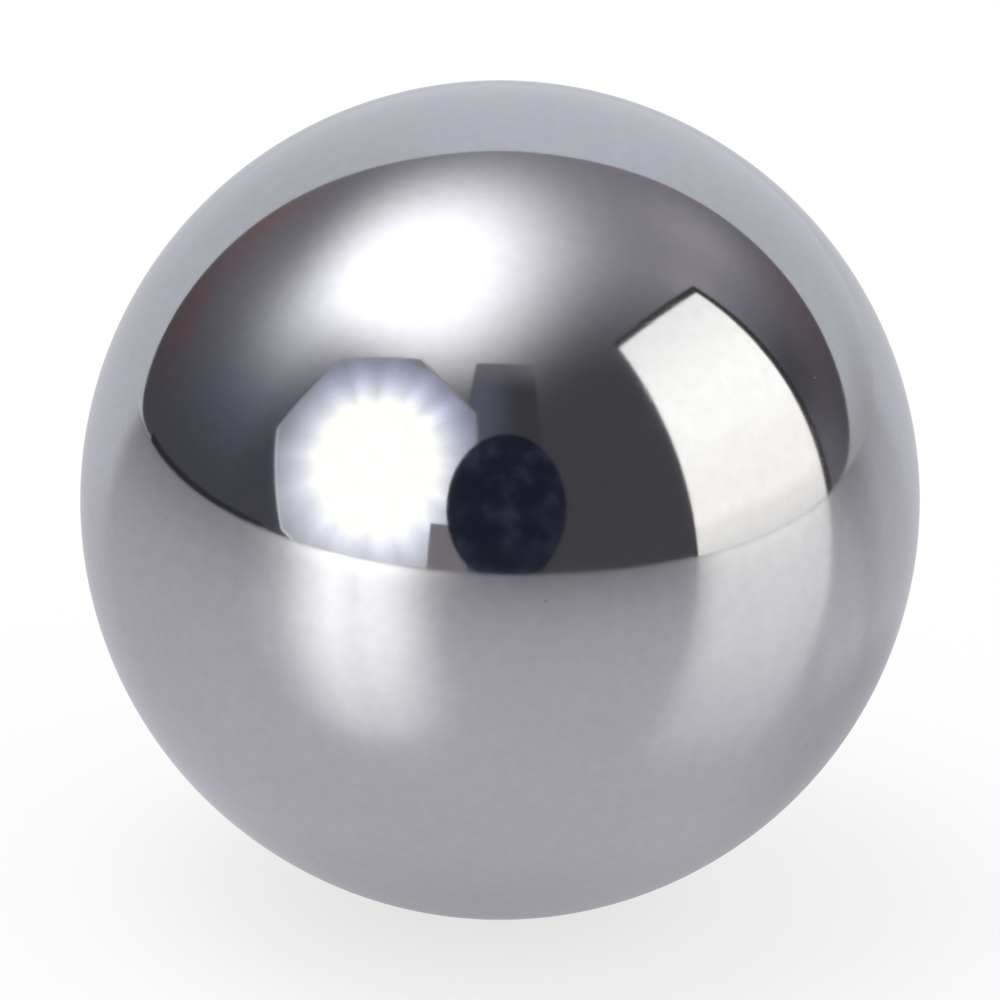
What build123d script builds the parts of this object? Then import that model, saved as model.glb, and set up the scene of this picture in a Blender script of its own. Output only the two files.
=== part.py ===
from build123d import *
import os

# A polished steel ball, hardened right through, ground round and lapped bright.
# It is one solid piece: no hole, flat, flash line or mark breaks its surface.
# Lengths are in millimetres. The origin is the centre of the ball, and +Z is up.

# Driving dimension
ball_diameter = 25.0


def half_section():
    """Half of the ball's round section: the half disc on the +X side of the upright axis."""
    rim = CenterArc(center=(0, 0), radius=ball_diameter / 2, start_angle=-90, arc_size=180)
    spin_line = Line(rim @ 1, rim @ 0)
    return Plane.XZ * make_face([rim, spin_line])


def steel_ball():
    """The half section turned once round Z, because every cut through a ball's centre is the same circle."""
    return revolve(half_section(), axis=Axis.Z, revolution_arc=360)


os.makedirs("parts", exist_ok=True)
export_step(steel_ball(), "parts/ball.step")
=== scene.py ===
import bpy
import math
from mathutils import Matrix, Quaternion, Vector


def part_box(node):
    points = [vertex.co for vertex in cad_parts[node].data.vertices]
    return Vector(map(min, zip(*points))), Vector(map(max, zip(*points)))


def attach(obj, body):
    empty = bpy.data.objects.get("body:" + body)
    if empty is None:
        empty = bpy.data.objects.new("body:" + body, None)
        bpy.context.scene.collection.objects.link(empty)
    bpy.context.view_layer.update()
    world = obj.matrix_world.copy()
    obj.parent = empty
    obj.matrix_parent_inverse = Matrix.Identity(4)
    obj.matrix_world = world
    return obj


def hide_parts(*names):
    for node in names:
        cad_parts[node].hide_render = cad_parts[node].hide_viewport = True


# The looks of a polished steel ball: its lapped mirror finish, the plain floor and the soft
# studio that it mirrors. Everything is in metres, in the frame of the CAD model. The ball's
# centre is the origin and the camera is at -Y. Azimuths are degrees to the right of the
# camera's side, as seen from above, and rises are degrees above level.

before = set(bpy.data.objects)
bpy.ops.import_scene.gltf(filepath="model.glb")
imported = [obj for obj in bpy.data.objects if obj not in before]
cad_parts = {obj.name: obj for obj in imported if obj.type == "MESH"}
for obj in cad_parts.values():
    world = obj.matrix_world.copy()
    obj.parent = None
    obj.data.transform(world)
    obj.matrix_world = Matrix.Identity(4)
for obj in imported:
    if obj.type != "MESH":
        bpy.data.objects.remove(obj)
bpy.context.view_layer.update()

# Sizes that come from the frame
ball_low, ball_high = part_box("ball")
ball_radius = (ball_high.z - ball_low.z) / 2
floor_level = -ball_radius

# How finely the ball is divided: the cuts across each side of the cube that it starts from
cube_cuts = 7
rounding_levels = 3

# The view of the photograph: in degrees, metres, pixels and, for the sensor, millimetres
camera_rise = 19.4
camera_roll = 2.0
camera_distance = 14 * ball_radius
nearest_seen = 0.01
farthest_seen = 10.0
picture_width = 1000
ball_radius_in_picture = 419.8
sensor_width = 36.0

# The steel's own colour, which every mirrored thing is seen through
steel_colour = (0.62, 0.625, 0.64)
white_in_steel = tuple(1 / part for part in steel_colour)

# The marks in the steel, with their lengths in millimetres and their turns in radians
millimetres_per_metre = 1000.0
drift_size = 7.0
drift_contrast = 1.6
grain_size = 0.4
grain_contrast = 1.2
line_turn = (0.3, 0.2, 0.5)
crossing_line_turn = (1.4, 0.8, 2.1)
pit_spacing = 1.1
pit_radius = 0.05
pit_share = 0.4

# The mottled colour of the steel, as shares of its own colour, and the painted shade in its pits
brightest_steel = 1.05
dullest_steel = 0.9
drift_in_mottle = 0.3
pit_shade_colour = (0.3, 0.3, 0.31, 1.0)
pit_shade_strength = 0.5

# The roughness of the steel: its haze, and what lines and pits add to it
least_haze = 0.045
most_haze = 0.07
line_roughness = 0.02
pit_roughness = 0.3

# How deep the marks are: one full depth in metres, and then each kind's share of it
full_depth = 0.000004
grain_depth = 0.04
line_depth = 0.015
pit_depth = 0.7

# The matt floor that the camera sees, and the near white round it
floor_reach = 5.0
floor_colour = (0.86, 0.86, 0.87, 1.0)
floor_roughness = 0.8
floor_own_light = 0.7
near_white = (0.98, 0.98, 0.985, 1.0)

# The tabletop that the steel sees in its place
table_roughness = 0.24
table_gloss = 0.8
table_refraction = 1.5
spill_way = (0.99, 0.08, 0.0)

# The octabox: where it stands, how large it is, and which way it faces
octabox_distance = 2.5
octabox_radius = 1.5
octabox_azimuth = -36.8
octabox_rise = 25.0
octabox_facing = -39.7
octabox_tip = 14.0

# The light of the octabox, where 1 is white: its glow in the middle and the flash tube behind it
octabox_peak = 6.0
flash_core = 2.0

# How fast the octabox's glow falls outward, and how much its ragged rays change that
octabox_rays = 16.0
ray_depth = 0.04
ragged_depth = 0.45
mean_fall = 0.945

# The strip light: its two ends, its top and the dark rim behind it
strip_left_distance = 1.775
strip_left_azimuth = 54.3
strip_right_distance = 2.16
strip_right_azimuth = 99.5
strip_top = 2.45
strip_flare_left = 0.05
strip_flare_right = 0.085
strip_rim = 0.13
strip_depth = 0.02

# The dark panel and the round flag before it
panel_distance = 3.25
panel_half_width = 0.725
panel_top = 4.82
flag_distance = 2.0
flag_half_width = 0.6
flag_middle = 0.07
flag_height = 0.7
flag_half_height = 0.8
flag_corners = 32

# The low card, and the painted shadow line past the table's far edge
low_card_distance = 2.15
low_card_left = -18.5
low_card_right = -8.0
low_card_top = 0.45
# A painted shadow: a thin dark card where the table's far edge lies in shade
edge_shadow_distance = 2.375
edge_shadow_left = -113.0
edge_shadow_right = -66.0
edge_shadow_height = 0.04

# The backdrop: its distance, and then its arch in shares of that distance
backdrop_distance = 2.5
backdrop_height = 1.255
backdrop_middle = 0.1
backdrop_right = 1.32
backdrop_right_power = 1.8
backdrop_left = 1.125
backdrop_left_power = 3.3
backdrop_reach = 7.5
backdrop_foot = 3.0
backdrop_steps = 120

# Soft patches of painted light and shade on the walls of the room: azimuth, rise, tightness and strength
painted_wall_patches = (
    (127, 44, 55.0, 0.085),
    (103, 48, 120.0, 0.05),
    (105, 23, 90.0, -0.035),
    (104, 3, 60.0, 0.06),
    (-136, 58, 30.0, -0.08),
)
bluish_patch = (-85, 15, 6.0, 1.0)
reddish_patches = (
    (126, 20, 80.0, 0.5),
    (-139, 28, 70.0, 1.0),
    (-125, 15, 110.0, 1.0),
)

# The walls: how light they are where 1 is white, how they lighten upward, and their tints
wall_light = 0.05
most_added_wall_light = 0.19
least_wall_light = 0.03
darkest_wall_azimuth = 10
darkest_wall_drop = 1.23
lightest_wall = 1.28
wall_tint = (0.99, 0.94, 1.10, 1.0)
bluish_tint = (0.95, 0.97, 1.24, 1.0)
reddish_tint = (1.16, 0.82, 0.92, 1.0)

# The glow on the ceiling, with its place and half widths in shares of the ceiling's height
glow_middle = (-0.336, -0.09, 1.0)
glow_half_widths = (0.466, 0.59, 1.0)
glow_edge_power = 2.43
glow_strength = 1.1
glow_tint = (0.985, 0.99, 1.03)
left_glow = (-88, 49, 29.0, 0.44)

# The soft lamp above the floor: its place and width in metres, and its power in watts
top_light_place = (-0.5, -0.1, 1.6)
top_light_width = 1.2
top_light_power = 8.0


def toward(azimuth, rise):
    """The direction that lies azimuth degrees to the right of the camera's side and rise degrees up."""
    turn = math.radians(azimuth)
    lift = math.radians(rise)
    return Vector((math.sin(turn) * math.cos(lift), -math.cos(turn) * math.cos(lift), math.sin(lift)))


def linear(code):
    """The light of one screen value, which runs from 0 to 255."""
    share = code / 255
    if share <= 0.04045:
        return share / 12.92
    return ((share + 0.055) / 1.055) ** 2.4


def mirrored(red, green, blue, gain=1.0):
    """The colour that a thing in the studio needs so that the steel shows it as these screen values."""
    parts = zip((red, green, blue), steel_colour)
    return tuple(gain * linear(code) / steel for code, steel in parts) + (1.0,)


class Nodes:
    """Adds and wires the nodes of one tree. An input is a plain value or another node's output."""

    def __init__(self, tree):
        self.tree = tree

    def add(self, kind, inputs=None, **settings):
        """Adds a node. Its inputs go by name, or by number where two sockets share a name."""
        node = self.tree.nodes.new("ShaderNode" + kind)
        for name, value in settings.items():
            setattr(node, name, value)
        for socket, value in (inputs or {}).items():
            if isinstance(value, bpy.types.NodeSocket):
                self.tree.links.new(value, node.inputs[socket])
            else:
                node.inputs[socket].default_value = value
        return node

    def send(self, value, socket):
        self.tree.links.new(value, socket)

    def math(self, operation, first, second=0.0, clamp=False):
        node = self.add("Math", {0: first, 1: second}, operation=operation, use_clamp=clamp)
        return node.outputs["Value"]

    def plus(self, first, *others):
        for other in others:
            first = self.math("ADD", first, other)
        return first

    def minus(self, first, second):
        return self.math("SUBTRACT", first, second)

    def times(self, first, *others):
        for other in others:
            first = self.math("MULTIPLY", first, other)
        return first

    def over(self, first, second):
        return self.math("DIVIDE", first, second)

    def vector(self, operation, first, second=(0.0, 0.0, 0.0)):
        return self.add("VectorMath", {0: first, 1: second}, operation=operation).outputs["Vector"]

    def scaled(self, vector, scale):
        inputs = {"Vector": vector, "Scale": scale}
        return self.add("VectorMath", inputs, operation="SCALE").outputs["Vector"]

    def length(self, vector):
        return self.add("VectorMath", {0: vector}, operation="LENGTH").outputs["Value"]

    def dot(self, first, second):
        inputs = {0: first, 1: second}
        return self.add("VectorMath", inputs, operation="DOT_PRODUCT").outputs["Value"]

    def split(self, vector):
        return self.add("SeparateXYZ", {"Vector": vector}).outputs

    def joined(self, x, y, z):
        return self.add("CombineXYZ", {"X": x, "Y": y, "Z": z}).outputs["Vector"]

    def ease(self, value, start, end, low=0.0, high=1.0):
        """A soft step: low where value is at start, high where it is at end."""
        inputs = {"Value": value, "From Min": start, "From Max": end, "To Min": low, "To Max": high}
        return self.add("MapRange", inputs, interpolation_type="SMOOTHSTEP").outputs["Result"]

    def blend(self, share, first, second):
        """One colour going over into another. The colour sockets of a Mix node are 6 and 7, and 2."""
        return self.add("Mix", {0: share, 6: first, 7: second}, data_type="RGBA").outputs[2]

    def noise(self, vector, scale, detail):
        inputs = {"Vector": vector, "Scale": scale, "Detail": detail}
        return self.add("TexNoise", inputs).outputs["Fac"]

    def placed(self, group, inputs):
        """Places a node group in the tree, and gives its one output."""
        return self.add("Group", inputs, node_tree=group).outputs[0]

    def either(self, share, first, second):
        """One shader going over into another."""
        return self.add("MixShader", {0: share, 1: first, 2: second}).outputs["Shader"]


def new_group(name, inputs, outputs):
    """An empty node group with named sockets, and its nodes, its input sockets and its output node."""
    group = bpy.data.node_groups.new(name, "ShaderNodeTree")
    for socket_name, kind, start in inputs:
        socket_type = "NodeSocket" + kind
        socket = group.interface.new_socket(name=socket_name, in_out="INPUT", socket_type=socket_type)
        if start is not None:
            socket.default_value = start
    for socket_name, kind in outputs:
        group.interface.new_socket(name=socket_name, in_out="OUTPUT", socket_type="NodeSocket" + kind)
    nodes = Nodes(group)
    given = nodes.tree.nodes.new("NodeGroupInput").outputs
    result = nodes.tree.nodes.new("NodeGroupOutput")
    return group, nodes, given, result.inputs


# The marks that grinding and lapping leave in the steel


def cloud_group():
    """Soft clouds, for the drift of the finish from one patch to the next."""
    group, nodes, given, result = new_group(
        "soft_clouds",
        [("Position", "Vector", None), ("Cloud Size", "Float", 4.0), ("Contrast", "Float", 1.0)],
        [("Clouds", "Float")],
    )
    scale = nodes.over(1.0, given["Cloud Size"])
    clouds = nodes.noise(given["Position"], scale, detail=3.0)
    spread = nodes.times(nodes.minus(clouds, 0.5), given["Contrast"])
    nodes.send(nodes.math("ADD", spread, 0.5, clamp=True), result["Clouds"])
    return group


def hairline_group():
    """Hair-fine straight marks that run one way, each much longer than it is wide."""
    group, nodes, given, result = new_group(
        "lapping_hairlines",
        [
            ("Position", "Vector", None),
            ("Turn", "Vector", (0.0, 0.0, 0.0)),
            ("Line Length", "Float", 6.0),
            ("Line Spacing", "Float", 0.5),
            ("Line Width", "Float", 0.03),
        ],
        [("Lines", "Float")],
    )
    turning = {"Vector": given["Position"], "Rotation": given["Turn"]}
    turned = nodes.add("VectorRotate", turning, rotation_type="EULER_XYZ").outputs["Vector"]
    across = nodes.over(1.0, given["Line Spacing"])
    along = nodes.over(1.0, given["Line Length"])
    drawn_out = nodes.vector("MULTIPLY", turned, nodes.joined(along, across, across))
    streaks = nodes.noise(drawn_out, 1.0, detail=1.0)
    off_centre = nodes.math("ABSOLUTE", nodes.minus(streaks, 0.5))
    nodes.send(nodes.ease(off_centre, 0.0, given["Line Width"], 1.0, 0.0), result["Lines"])
    return group


def pit_group():
    """Tiny round pits, scattered and of mixed size."""
    group, nodes, given, result = new_group(
        "micro_pits",
        [
            ("Position", "Vector", None),
            ("Spacing", "Float", 1.0),
            ("Pit Radius", "Float", 0.06),
            ("Share", "Float", 0.5),
        ],
        [("Pits", "Float")],
    )
    scale = nodes.over(1.0, given["Spacing"])
    cells = nodes.add("TexVoronoi", {"Vector": given["Position"], "Scale": scale})
    chance = nodes.split(cells.outputs["Color"])
    kept = nodes.math("LESS_THAN", chance["X"], given["Share"])
    smallest = 0.4
    size = nodes.times(nodes.plus(chance["Y"], smallest), given["Pit Radius"])
    reach = nodes.times(size, scale)
    dent = nodes.ease(nodes.over(cells.outputs["Distance"], reach), 0.3, 1.0, 1.0, 0.0)
    nodes.send(nodes.times(dent, kept), result["Pits"])
    return group


def polished_steel():
    """Hardened steel, lapped to a mirror: faint haze, hairlines two ways, a few pits too small to feel."""
    material = bpy.data.materials.new("polished_steel")
    material.use_nodes = True
    nodes = Nodes(material.node_tree)
    shader = material.node_tree.nodes["Principled BSDF"]
    shader.inputs["Metallic"].default_value = 1.0

    place = nodes.add("TexCoord").outputs["Object"]
    position = nodes.scaled(place, millimetres_per_metre)
    clouds = cloud_group()
    drifting = {"Position": position, "Cloud Size": drift_size, "Contrast": drift_contrast}
    drift = nodes.placed(clouds, drifting)
    grainy = {"Position": position, "Cloud Size": grain_size, "Contrast": grain_contrast}
    grain = nodes.placed(clouds, grainy)

    hairlines = hairline_group()
    one_way = nodes.placed(hairlines, {"Position": position, "Turn": line_turn})
    one_way = nodes.times(one_way, nodes.ease(drift, 0.5, 0.7))
    other_way = nodes.placed(hairlines, {"Position": position, "Turn": crossing_line_turn})
    other_way = nodes.times(other_way, nodes.ease(drift, 0.5, 0.3))
    lines = nodes.math("MAXIMUM", one_way, other_way)

    scatter = {"Position": position, "Spacing": pit_spacing, "Pit Radius": pit_radius, "Share": pit_share}
    pits = nodes.placed(pit_group(), scatter)

    bright = tuple(brightest_steel * part for part in steel_colour) + (1.0,)
    dull = tuple(dullest_steel * part for part in steel_colour) + (1.0,)
    mottle = nodes.plus(nodes.times(drift, drift_in_mottle), nodes.times(grain, 1 - drift_in_mottle))
    colour = nodes.blend(mottle, bright, dull)
    # Painted shade in the pits: their colour is darkened
    colour = nodes.blend(nodes.times(pits, pit_shade_strength), colour, pit_shade_colour)
    nodes.send(colour, shader.inputs["Base Color"])

    haze = nodes.ease(drift, 0.2, 0.9, least_haze, most_haze)
    rough = nodes.plus(haze, nodes.times(lines, line_roughness), nodes.times(pits, pit_roughness))
    nodes.send(rough, shader.inputs["Roughness"])

    height = nodes.times(grain, grain_depth)
    height = nodes.minus(height, nodes.times(lines, line_depth))
    height = nodes.minus(height, nodes.times(pits, pit_depth))
    bump = nodes.add("Bump", {"Height": height, "Strength": 1.0, "Distance": full_depth})
    nodes.send(bump.outputs["Normal"], shader.inputs["Normal"])
    return material


# The ball


def model_ball():
    """The ball as an even mesh of quads, so that its outline and what it mirrors stay true all round."""
    bpy.ops.object.select_all(action="DESELECT")
    bpy.ops.mesh.primitive_cube_add(size=2 * ball_radius / math.sqrt(3), location=(0, 0, 0))
    ball = bpy.context.object
    ball.name = "steel_ball"
    bpy.ops.object.mode_set(mode="EDIT")
    bpy.ops.mesh.select_all(action="SELECT")
    bpy.ops.mesh.subdivide(number_cuts=cube_cuts)
    bpy.ops.transform.tosphere(value=1.0)
    bpy.ops.mesh.normals_make_consistent(inside=False)
    bpy.ops.object.mode_set(mode="OBJECT")
    rounding = ball.modifiers.new("rounding", "SUBSURF")
    rounding.levels = rounding_levels
    rounding.render_levels = rounding_levels
    bpy.ops.object.modifier_apply(modifier="rounding")
    lapping = ball.modifiers.new("lapping", "CAST")
    lapping.cast_type = "SPHERE"
    lapping.factor = 1.0
    lapping.use_radius_as_size = True
    lapping.radius = ball_radius
    bpy.ops.object.modifier_apply(modifier="lapping")
    bpy.ops.object.shade_smooth()
    ball.data.materials.append(polished_steel())
    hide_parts("ball")
    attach(ball, "root")


# The studio


def glowing(name, colour):
    """A material that only gives light. Its colour is plain, or a function that adds the nodes for it."""
    material = bpy.data.materials.new(name)
    material.use_nodes = True
    nodes = Nodes(material.node_tree)
    nodes.tree.nodes.clear()
    if callable(colour):
        colour = colour(nodes)
    emission = nodes.add("Emission", {"Color": colour})
    nodes.add("OutputMaterial", {"Surface": emission.outputs["Emission"]})
    material.cycles.emission_sampling = "NONE"
    return material


def show_in_steel_only(piece):
    """Keeps a piece of the studio out of the camera's view and off the matt floor."""
    piece.visible_camera = False
    piece.visible_diffuse = False


def card(name, corners, material):
    """A flat piece of the studio, seen in the steel and never by the camera."""
    mesh = bpy.data.meshes.new(name)
    mesh.from_pydata([tuple(corner) for corner in corners], [], [list(range(len(corners)))])
    mesh.materials.append(material)
    piece = bpy.data.objects.new(name, mesh)
    bpy.context.scene.collection.objects.link(piece)
    show_in_steel_only(piece)


def upright(left, right, top):
    """The four corners of an upright card between two places on the floor."""
    return [
        Vector((left.x, left.y, floor_level)),
        Vector((right.x, right.y, floor_level)),
        Vector((right.x, right.y, top)),
        Vector((left.x, left.y, top)),
    ]


def past_the_table(nodes):
    """1 where the steel sees a card by way of the tabletop, and 0 where it sees the card itself."""
    direct = 1
    by_the_table = 2
    bounces = nodes.add("LightPath").outputs["Glossy Depth"]
    return nodes.math("GREATER_THAN", bounces, (direct + by_the_table) / 2)


def octabox_cloth(nodes, place, sides):
    """The lit cloth: far brighter than white in the middle, fading to cool grey through ragged rays."""
    reach = nodes.length(place)
    angle = nodes.math("ARCTAN2", sides["Y"], sides["X"])
    rays = nodes.times(nodes.math("COSINE", nodes.times(angle, octabox_rays)), ray_depth)
    around = nodes.joined(nodes.math("COSINE", angle), nodes.math("SINE", angle), 0.0)
    ragged = nodes.times(nodes.minus(nodes.noise(around, 4.0, detail=3.0), 0.5), ragged_depth)
    raggedness = nodes.times(nodes.plus(rays, ragged), nodes.ease(reach, 0.4, 0.9, 1.0, 0.35))

    # The glow reaches a little further up than down, and further still to the sides
    upward = nodes.dot(around, (0.0, -0.035, 0.0))
    squared = nodes.vector("MULTIPLY", around, around)
    off_round = nodes.plus(upward, nodes.dot(squared, (-0.02, 0.02, 0.0)))
    uneven_reach = nodes.times(reach, nodes.plus(raggedness, off_round, mean_fall))

    fade = nodes.ease(sides["Y"], 0.2, -0.7, 0.26, 0.31)
    fall = nodes.over(uneven_reach, fade)
    light = nodes.times(nodes.math("EXPONENT", nodes.times(fall, -1.0)), octabox_peak)
    light = nodes.plus(light, nodes.ease(uneven_reach, 0.1, 0.48, flash_core, 0.0))
    light = nodes.plus(light, nodes.ease(sides["Y"], 0.3, -0.6, 0.01, 0.07))
    white = nodes.scaled(white_in_steel, light)

    cool = nodes.blend(nodes.ease(sides["Y"], 0.0, 0.7), (0.97, 1.0, 1.13, 1.0), (0.94, 1.0, 1.3, 1.0))
    tint = nodes.blend(nodes.ease(reach, 0.45, 0.75), (1.0, 1.0, 1.0, 1.0), cool)
    cap = mirrored(252, 253, 249, gain=1.06)[:3]
    return nodes.vector("MINIMUM", nodes.vector("MULTIPLY", white, tint), cap)


def octabox_in_table(nodes, sides):
    """The octabox where the steel sees it in the tabletop: a broad beam, soft at its edges."""
    off_middle = nodes.math("ABSOLUTE", nodes.plus(sides["X"], 0.03))
    off_left_fold = nodes.math("ABSOLUTE", nodes.plus(sides["X"], 0.2))
    to_edge = nodes.ease(off_middle, 0.14, 0.72, 1.0, 0.1)
    to_top = nodes.ease(sides["Y"], 0.6, 0.95, 1.0, 0.35)
    lit = nodes.ease(sides["Y"], -0.67, 0.35, 0.6, 9.4)
    bright_fold = nodes.ease(off_left_fold, 0.0, 0.12, 1.15, 1.0)
    dim_fold = nodes.ease(off_middle, 0.0, 0.04, 0.75, 1.0)
    beam = nodes.times(to_edge, to_top, lit, bright_fold, dim_fold)
    return nodes.scaled(white_in_steel, beam)


def octabox_border(nodes, place, sides, cloth):
    """The cloth with its sewn border and its black frame, which run round its eight sides."""
    folded = nodes.vector("ABSOLUTE", place)
    half_side = math.pi / 8
    to_side = nodes.dot(folded, (math.cos(half_side), math.sin(half_side), 0.0))
    to_next_side = nodes.dot(folded, (math.sin(half_side), math.cos(half_side), 0.0))
    to_border = nodes.over(nodes.math("MAXIMUM", to_side, to_next_side), math.cos(half_side))
    upper = nodes.ease(sides["Y"], -0.1, 0.1)
    piping = nodes.blend(upper, mirrored(200, 201, 208), mirrored(145, 146, 155))
    piping = nodes.blend(nodes.ease(sides["X"], 0.3, 0.7), piping, mirrored(128, 130, 142))
    cloth = nodes.blend(nodes.ease(to_border, 0.955, 0.965), cloth, piping)
    near_top = nodes.ease(sides["Y"], 0.3, 0.6)
    frame_black = nodes.blend(near_top, mirrored(48, 48, 56), mirrored(124, 121, 126))
    at_top = nodes.ease(sides["Y"], 0.9, 0.93)
    at_frame = nodes.math("MAXIMUM", nodes.ease(to_border, 0.975, 0.985), at_top)
    return nodes.blend(at_frame, cloth, frame_black)


def octabox_light(nodes):
    """What the steel shows of the octabox, whose own middle is 0 and whose corners are at 1."""
    place = nodes.scaled(nodes.add("TexCoord").outputs["Object"], 1 / octabox_radius)
    sides = nodes.split(place)
    cloth = octabox_cloth(nodes, place, sides)
    cloth = nodes.blend(past_the_table(nodes), cloth, octabox_in_table(nodes, sides))
    return octabox_border(nodes, place, sides, cloth)


def make_octabox():
    """An eight-sided soft light, tipped down toward the ball."""
    bpy.ops.object.select_all(action="DESELECT")
    bpy.ops.mesh.primitive_circle_add(vertices=8, radius=octabox_radius, fill_type="NGON")
    octabox = bpy.context.object
    octabox.name = "octabox"
    octabox.location = toward(octabox_azimuth, octabox_rise) * octabox_distance
    octabox.rotation_mode = "QUATERNION"
    octabox.rotation_quaternion = toward(octabox_facing, octabox_tip).to_track_quat("Z", "Y")
    octabox.data.materials.append(glowing("octabox_cloth", octabox_light))
    show_in_steel_only(octabox)


def strip_light(nodes):
    """Brightest half way up, a little warm lower down, and dimmer in the band just above the floor."""
    place = nodes.split(nodes.add("TexCoord").outputs["Object"])
    height = nodes.over(place["Z"], strip_top)
    foot = nodes.blend(nodes.ease(height, 0.0, 0.05), mirrored(219, 218, 218), mirrored(229, 227, 225))
    low = nodes.blend(nodes.ease(height, 0.055, 0.11), foot, mirrored(247, 244, 241))
    middle = nodes.blend(nodes.ease(height, 0.15, 0.42), low, mirrored(254, 254, 252))
    cloth = nodes.blend(nodes.ease(height, 0.48, 0.97), middle, mirrored(235, 235, 235))

    # In the tabletop it grows brighter upward, and dims toward its two ends
    left_end = -strip_left_distance * math.cos(math.radians(strip_left_azimuth))
    right_end = -strip_right_distance * math.cos(math.radians(strip_right_azimuth))
    off_left_end = 0.85 * left_end + 0.15 * right_end
    half_way = 0.5 * left_end + 0.5 * right_end
    from_left = nodes.ease(place["Y"], left_end, off_left_end, 0.55, 1.0)
    to_right = nodes.ease(place["Y"], half_way, right_end, 1.0, 0.75)
    rising = nodes.ease(height, 0.0, 0.45, 0.76, 4.0)
    in_table = nodes.scaled(cloth, nodes.times(from_left, to_right, rising))
    return nodes.blend(past_the_table(nodes), cloth, in_table)


def make_strip():
    """A tall flat light that widens upward, and the dark rim that shows past its edges."""
    left = toward(strip_left_azimuth, 0) * strip_left_distance
    right = toward(strip_right_azimuth, 0) * strip_right_distance
    along = (right - left).normalized()
    behind = Vector((-along.y, along.x, 0)) * strip_depth
    if behind.dot(left) < 0:
        behind = -behind

    def flared(left_foot, right_foot, top):
        corners = upright(left_foot, right_foot, top)
        corners[2] += along * strip_flare_right
        corners[3] -= along * strip_flare_left
        return corners

    card("strip_box", flared(left, right, strip_top), glowing("strip_cloth", strip_light))
    rim = glowing("strip_rim_black", mirrored(44, 41, 45))
    rim_left = left + behind - along * 0.25 * strip_rim
    rim_right = right + behind + along * strip_rim
    card("strip_rim", flared(rim_left, rim_right, strip_top + 1.5 * strip_rim), rim)


def panel_grey(nodes):
    """Grey that darkens to the right and pales toward the top."""
    place = nodes.split(nodes.add("TexCoord").outputs["Object"])
    across = nodes.over(place["X"], panel_half_width)
    grey = nodes.blend(nodes.ease(across, -0.7, 0.5), mirrored(80, 82, 93), mirrored(56, 56, 61))
    height = nodes.over(place["Z"], panel_top)
    return nodes.blend(nodes.ease(height, 0.75, 1.0), grey, mirrored(98, 97, 104))


def make_dark_panel():
    left = Vector((-panel_half_width, -panel_distance, 0))
    right = Vector((panel_half_width, -panel_distance, 0))
    card("dark_panel", upright(left, right, panel_top), glowing("panel_grey", panel_grey))


def flag_cloth(nodes):
    """Blue-black cloth with faint creases, whose shading is painted into its colour."""
    place = nodes.add("TexCoord").outputs["Object"]
    # Painted shading of faint creases
    crease_shading = nodes.ease(nodes.noise(place, 3.0, detail=3.0), 0.45, 0.72)
    return nodes.blend(crease_shading, mirrored(26, 28, 41), mirrored(46, 48, 62))


def make_lens_flag():
    """A round flag on the camera's side, cut off where it meets the floor."""
    outline = []
    for corner in range(flag_corners):
        angle = 2 * math.pi * corner / flag_corners
        across = flag_middle + flag_half_width * math.cos(angle)
        height = flag_height + flag_half_height * math.sin(angle)
        outline.append(Vector((across, -flag_distance, max(height, floor_level))))
    card("lens_flag", outline, glowing("flag_black", flag_cloth))


def make_low_card():
    left = toward(low_card_left, 0) * low_card_distance
    right = toward(low_card_right, 0) * low_card_distance
    grey = glowing("low_card_grey", mirrored(112, 108, 113))
    card("low_card", upright(left, right, low_card_top), grey)


def make_edge_shadow():
    """A painted shadow: the thin dark line beyond the table's far edge, on the left."""
    # A dark card painted where the table's edge is in shade
    painted_shadow = glowing("painted_edge_shadow", mirrored(36, 36, 48))
    left = toward(edge_shadow_left, 0) * edge_shadow_distance
    right = toward(edge_shadow_right, 0) * edge_shadow_distance
    card("edge_shadow_card", upright(left, right, edge_shadow_height), painted_shadow)


def backdrop_shaded_grey(nodes):
    """Pale grey with painted light and shade: lightest in the middle of the sweep and darkest at its foot
    on the right.
    """
    place = nodes.split(nodes.add("TexCoord").outputs["Object"])
    off_middle = nodes.math("ABSOLUTE", nodes.minus(place["X"], backdrop_middle * backdrop_distance))
    outward = nodes.ease(off_middle, 0.1 * backdrop_distance, 0.8 * backdrop_distance)
    # Painted light: lighter in the middle of the sweep, darker outward
    grey = nodes.blend(outward, mirrored(174, 177, 185), mirrored(167, 169, 177))
    # Painted shade at the foot of the sweep on the right
    low = nodes.ease(place["Z"], 0.0, 0.35 * backdrop_distance, 1.0, 0.0)
    on_right = nodes.ease(place["X"], 0.6 * backdrop_distance, 1.3 * backdrop_distance)
    return nodes.blend(nodes.times(low, on_right), grey, mirrored(148, 147, 152))


def make_backdrop():
    """The pale sweep behind the ball: it stands up as an arch with flared feet."""
    outline = []
    for step in range(backdrop_steps + 1):
        across = backdrop_reach * (1 - 2 * step / backdrop_steps)
        off_middle = across - backdrop_middle
        if off_middle > 0:
            fall = (off_middle / backdrop_right) ** backdrop_right_power
        else:
            fall = (-off_middle / backdrop_left) ** backdrop_left_power
        height = backdrop_height * math.exp(-fall)
        arch = (across * backdrop_distance, backdrop_distance, height * backdrop_distance)
        outline.append(Vector(arch))
    foot = backdrop_foot * backdrop_distance
    outline.append(Vector((-foot, backdrop_distance, floor_level)))
    outline.append(Vector((foot, backdrop_distance, floor_level)))
    card("backdrop", outline, glowing("backdrop_shaded_grey", backdrop_shaded_grey))


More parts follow.
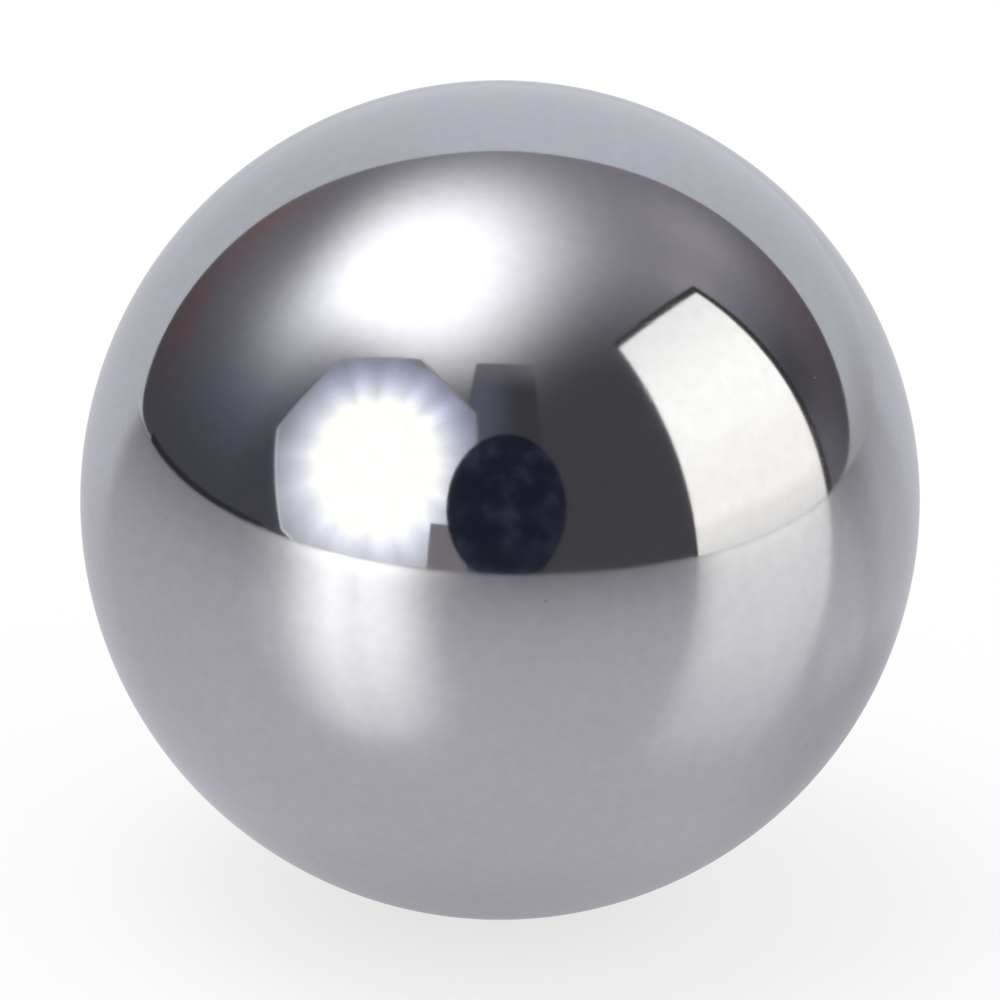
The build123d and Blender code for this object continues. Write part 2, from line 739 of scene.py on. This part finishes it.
def tabletop(nodes):
    """The grey of the tabletop that the steel sees, and how much gloss lies on it."""
    place = nodes.add("TexCoord").outputs["Object"]
    reach = nodes.length(place)
    way = nodes.vector("DIVIDE", place, nodes.joined(reach, reach, reach))
    ways = nodes.split(way)

    # The matt sweep of the backdrop, which starts a little way behind the ball
    sweep = nodes.times(nodes.ease(ways["Y"], 0.42, 0.64), nodes.ease(ways["X"], 0.8, 0.65))
    sweep = nodes.times(sweep, nodes.ease(reach, 2 * ball_radius, 6 * ball_radius))

    # The light that the strip spills on the table at its right end
    off_spill = nodes.length(nodes.vector("SUBTRACT", way, spill_way))
    spill = nodes.ease(off_spill, 0.08, 0.24, 1.0, 0.0)
    spill = nodes.times(spill, nodes.ease(reach, 1.2 * ball_radius, 2.2 * ball_radius))

    # The ball's own shade, right under it and to its back right
    under_ball = nodes.ease(reach, 0.0, 0.9 * ball_radius, 0.6, 1.0)
    shade_middle = (1.1 * ball_radius, 0.6 * ball_radius, 0.0)
    off_shade = nodes.length(nodes.vector("SUBTRACT", place, shade_middle))
    beside_ball = nodes.ease(off_shade, 0.5 * ball_radius, 1.3 * ball_radius, 0.8, 1.0)

    grey = nodes.blend(spill, mirrored(163, 162, 170), mirrored(172, 171, 179))
    grey = nodes.blend(sweep, grey, mirrored(167, 168, 176))
    grey = nodes.scaled(grey, nodes.times(under_ball, beside_ball))
    gloss = nodes.ease(sweep, 0.0, 1.0, table_gloss, 0.0)
    gloss = nodes.times(gloss, nodes.ease(reach, ball_radius, 1.8 * ball_radius))
    return grey, gloss


def floor_material():
    """Near white and matt to the camera. In the steel it is a grey satin table that mirrors the studio."""
    material = bpy.data.materials.new("pale_floor")
    material.use_nodes = True
    nodes = Nodes(material.node_tree)
    matt = material.node_tree.nodes["Principled BSDF"]
    matt.inputs["Base Color"].default_value = floor_colour
    matt.inputs["Roughness"].default_value = floor_roughness
    lit_evenly = nodes.add("Emission", {"Color": (1.0, 1.0, 1.0, 1.0)})
    seen = nodes.either(floor_own_light, matt.outputs["BSDF"], lit_evenly.outputs["Emission"])

    grey, gloss = tabletop(nodes)
    plain = nodes.add("Emission", {"Color": grey})
    satin = nodes.add("BsdfGlossy", {"Roughness": table_roughness})
    fresnel = nodes.add("Fresnel", {"IOR": table_refraction})
    mirror_share = nodes.times(fresnel.outputs["Fac"], gloss)
    in_steel = nodes.either(mirror_share, plain.outputs["Emission"], satin.outputs["BSDF"])

    both = nodes.either(nodes.add("LightPath").outputs["Is Glossy Ray"], seen, in_steel)
    nodes.send(both, material.node_tree.nodes["Material Output"].inputs["Surface"])
    return material


def make_floor():
    bpy.ops.object.select_all(action="DESELECT")
    bpy.ops.mesh.primitive_plane_add(size=2 * floor_reach, location=(0, 0, floor_level))
    floor = bpy.context.object
    floor.name = "floor"
    floor.data.materials.append(floor_material())


def soft_patch(nodes, way, azimuth, rise, tightness, strength):
    """A soft round patch of that strength on the room's walls."""
    off = nodes.minus(nodes.dot(way, toward(azimuth, rise)), 1.0)
    return nodes.times(nodes.math("EXPONENT", nodes.times(off, tightness)), strength)


def lit_walls(nodes, way, up):
    """Dark walls that grow lighter upward, more slowly on the camera's side, with their patches of painted
    light and shade.
    """
    toward_front = nodes.math("MAXIMUM", nodes.dot(way, toward(darkest_wall_azimuth, 0)), 0.0)
    lifted = nodes.minus(up, nodes.times(toward_front, darkest_wall_drop))
    added = nodes.ease(lifted, 0.0, lightest_wall, 0.0, most_added_wall_light)
    walls = nodes.plus(added, wall_light)
    # Patches of painted light, and of painted shade where their strength is below 0
    for painted_wall_patch in painted_wall_patches:
        walls = nodes.plus(walls, soft_patch(nodes, way, *painted_wall_patch))
    walls = nodes.math("MAXIMUM", walls, least_wall_light)
    tint = nodes.blend(soft_patch(nodes, way, *bluish_patch), wall_tint, bluish_tint)
    warmth = 0.0
    for reddish_patch in reddish_patches:
        warmth = nodes.math("ADD", warmth, soft_patch(nodes, way, *reddish_patch), clamp=True)
    return nodes.scaled(nodes.blend(warmth, tint, reddish_tint), walls)


def ceiling_glow(nodes, way, up):
    """A broad oval glow on the ceiling, and a smaller soft one to its left."""
    above = nodes.math("MAXIMUM", up, 0.05)
    on_ceiling = nodes.vector("DIVIDE", way, nodes.joined(above, above, above))
    off_glow = nodes.vector("SUBTRACT", on_ceiling, glow_middle)
    spread = nodes.length(nodes.vector("DIVIDE", off_glow, glow_half_widths))
    glow = nodes.math("EXPONENT", nodes.times(nodes.math("POWER", spread, glow_edge_power), -1.0))
    glow = nodes.plus(nodes.times(glow, glow_strength), soft_patch(nodes, way, *left_glow))
    return nodes.scaled(glow_tint, glow)


def light_room():
    """A dark room with a glow on its ceiling, for the steel. The camera and the floor get near white."""
    world = bpy.data.worlds.new("room")
    bpy.context.scene.world = world
    world.use_nodes = True
    nodes = Nodes(world.node_tree)
    nodes.tree.nodes.clear()
    way = nodes.add("TexCoord").outputs["Generated"]
    up = nodes.split(way)["Z"]
    light = nodes.vector("ADD", lit_walls(nodes, way, up), ceiling_glow(nodes, way, up))
    before_steel = nodes.vector("DIVIDE", light, steel_colour)
    room = nodes.add("Background", {"Color": before_steel}).outputs["Background"]
    pale = nodes.add("Background", {"Color": near_white}).outputs["Background"]
    both = nodes.either(nodes.add("LightPath").outputs["Is Glossy Ray"], pale, room)
    nodes.add("OutputWorld", {"Surface": both})
    world.cycles.sampling_method = "NONE"


def make_top_light():
    """Soft light for the floor and the ball's shadow, kept out of the steel."""
    data = bpy.data.lights.new("top_light", "AREA")
    data.shape = "DISK"
    data.size = top_light_width
    data.energy = top_light_power
    lamp = bpy.data.objects.new("top_light", data)
    bpy.context.scene.collection.objects.link(lamp)
    lamp.location = top_light_place
    lamp.rotation_mode = "QUATERNION"
    lamp.rotation_quaternion = lamp.location.to_track_quat("Z", "Y")
    lamp.visible_glossy = False
    lamp.visible_camera = False


def place_camera():
    """The camera at the photograph's height and roll, with the ball as large in the picture as there."""
    back = toward(0, camera_rise)
    data = bpy.data.cameras.new("camera")
    data.sensor_width = sensor_width
    ball_half_angle = math.asin(ball_radius / camera_distance)
    data.lens = sensor_width * ball_radius_in_picture / picture_width / math.tan(ball_half_angle)
    data.clip_start = nearest_seen
    data.clip_end = farthest_seen
    camera = bpy.data.objects.new("camera", data)
    bpy.context.scene.collection.objects.link(camera)
    camera.location = back * camera_distance
    camera.rotation_mode = "QUATERNION"
    level = back.to_track_quat("Z", "Y")
    camera.rotation_quaternion = level @ Quaternion((0, 0, 1), math.radians(camera_roll))
    bpy.context.scene.camera = camera


bpy.context.scene.view_settings.view_transform = "Standard"
place_camera()
model_ball()
make_floor()
make_backdrop()
make_octabox()
make_strip()
make_dark_panel()
make_lens_flag()
make_low_card()
make_edge_shadow()
light_room()
make_top_light()
